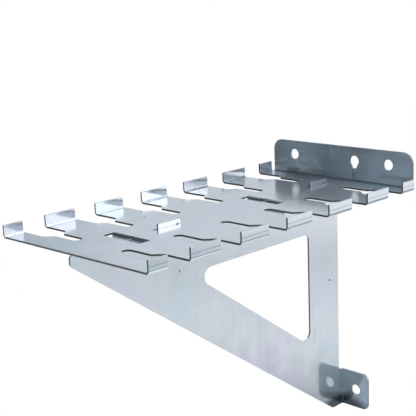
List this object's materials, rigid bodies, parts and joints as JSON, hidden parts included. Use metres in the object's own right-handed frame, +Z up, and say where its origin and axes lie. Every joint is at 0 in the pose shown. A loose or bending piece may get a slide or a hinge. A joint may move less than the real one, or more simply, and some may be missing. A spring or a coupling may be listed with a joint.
{
  "type": "wall-mounted clamp rack",
  "caption": "Wall rack for bar and parallel clamps: a slotted sheet-steel shelf with turned-up lips, carried by a hooked triangular support bracket.",
  "frame": {"origin": "midpoint between the two outer screw holes of the shelf's wall flange, on the wall's surface; the bracket's plate stands on X = 0", "axes": "+X along the wall to the right as seen from the room, +Y square into the wall, +Z up"},
  "size_m": [0.2032, 0.3943, 0.3138],
  "materials": {
    "zinc_shelf": "bright zinc plate over smooth sheet steel, sheared edges darker",
    "zinc_bracket": "bright zinc plate over smooth sheet steel, sheared edges darker"
  },
  "bodies": {
    "shelf": {"slotted_shelf": "zinc_shelf"},
    "bracket": {"support_bracket": "zinc_bracket"}
  },
  "joints": [
    {"name": "bracket_unhook", "type": "slide", "parent": "shelf", "child": "bracket", "axis": [0, -1, 0], "range_m": [0, 0.005]}
  ]
}
